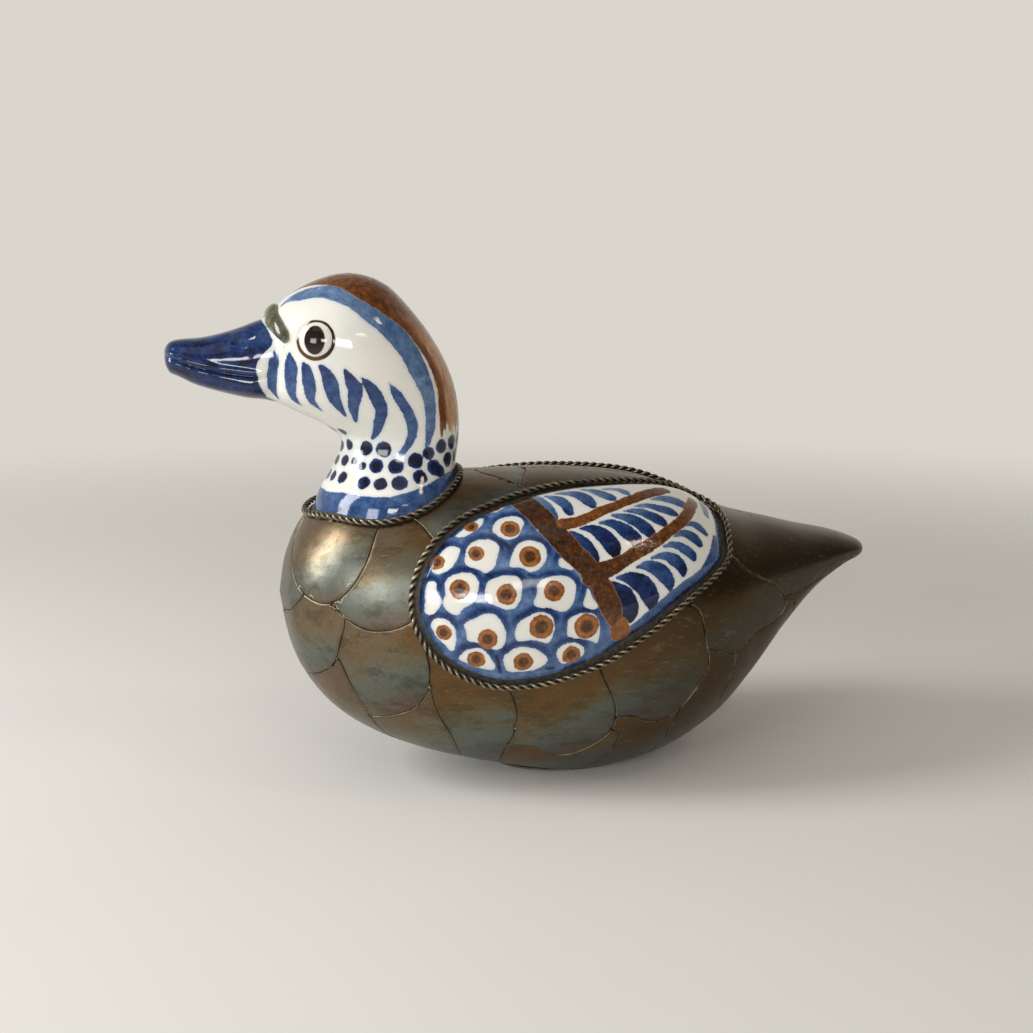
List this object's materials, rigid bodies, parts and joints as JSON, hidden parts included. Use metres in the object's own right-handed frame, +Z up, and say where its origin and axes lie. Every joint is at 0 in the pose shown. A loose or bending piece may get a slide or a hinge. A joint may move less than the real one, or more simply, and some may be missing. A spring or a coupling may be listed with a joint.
{
  "type": "duck figurine",
  "caption": "Hollow glazed ceramic duck figurine with painted head and wings, a body clad in overlapping sheet-brass feather plates, and twisted-wire trims; it stands on a flat base.",
  "frame": {"origin": "centre of the bounding box in plan, on the surface that the figurine stands on", "axes": "+Z up; the bill points to -X and the tail to +X; the bird's left side, which the picture shows, faces -Y"},
  "size_m": [0.2991, 0.1342, 0.2078],
  "materials": {
    "glazed_ceramic": "gloss",
    "patinated_brass": "satin",
    "twisted_wire": "satin",
    "base_sheet": "matte"
  },
  "bodies": {
    "root": {"back_front_plate": "patinated_brass", "back_middle_plate": "patinated_brass", "base_plate": "base_sheet", "breast_middle_plate": "patinated_brass", "ceramic_bird": "glazed_ceramic", "keel_front_plate": "patinated_brass", "left_belly_front_plate": "patinated_brass", "left_belly_middle_plate": "patinated_brass", "left_belly_rear_plate": "patinated_brass", "left_breast_flank_plate": "patinated_brass", "left_breast_lower_plate": "patinated_brass", "left_breast_plate": "patinated_brass", "left_flank_front_plate": "patinated_brass", "left_flank_middle_plate": "patinated_brass", "left_flank_rear_plate": "patinated_brass", "left_rump_lower_plate": "patinated_brass", "left_rump_side_plate": "patinated_brass", "left_shoulder_plate": "patinated_brass", "left_thigh_plate": "patinated_brass", "left_throat_side_plate": "patinated_brass", "left_wing_rope_trim": "twisted_wire", "neck_rope_trim": "twisted_wire", "right_belly_front_plate": "patinated_brass", "right_belly_middle_plate": "patinated_brass", "right_belly_rear_plate": "patinated_brass", "right_breast_flank_plate": "patinated_brass", "right_breast_lower_plate": "patinated_brass", "right_breast_plate": "patinated_brass", "right_flank_front_plate": "patinated_brass", "right_flank_middle_plate": "patinated_brass", "right_flank_rear_plate": "patinated_brass", "right_rump_lower_plate": "patinated_brass", "right_rump_side_plate": "patinated_brass", "right_shoulder_plate": "patinated_brass", "right_thigh_plate": "patinated_brass", "right_throat_side_plate": "patinated_brass", "right_wing_rope_trim": "twisted_wire", "tail_cover_plate": "patinated_brass", "tail_underside_plate": "patinated_brass"}
  },
  "joints": []
}
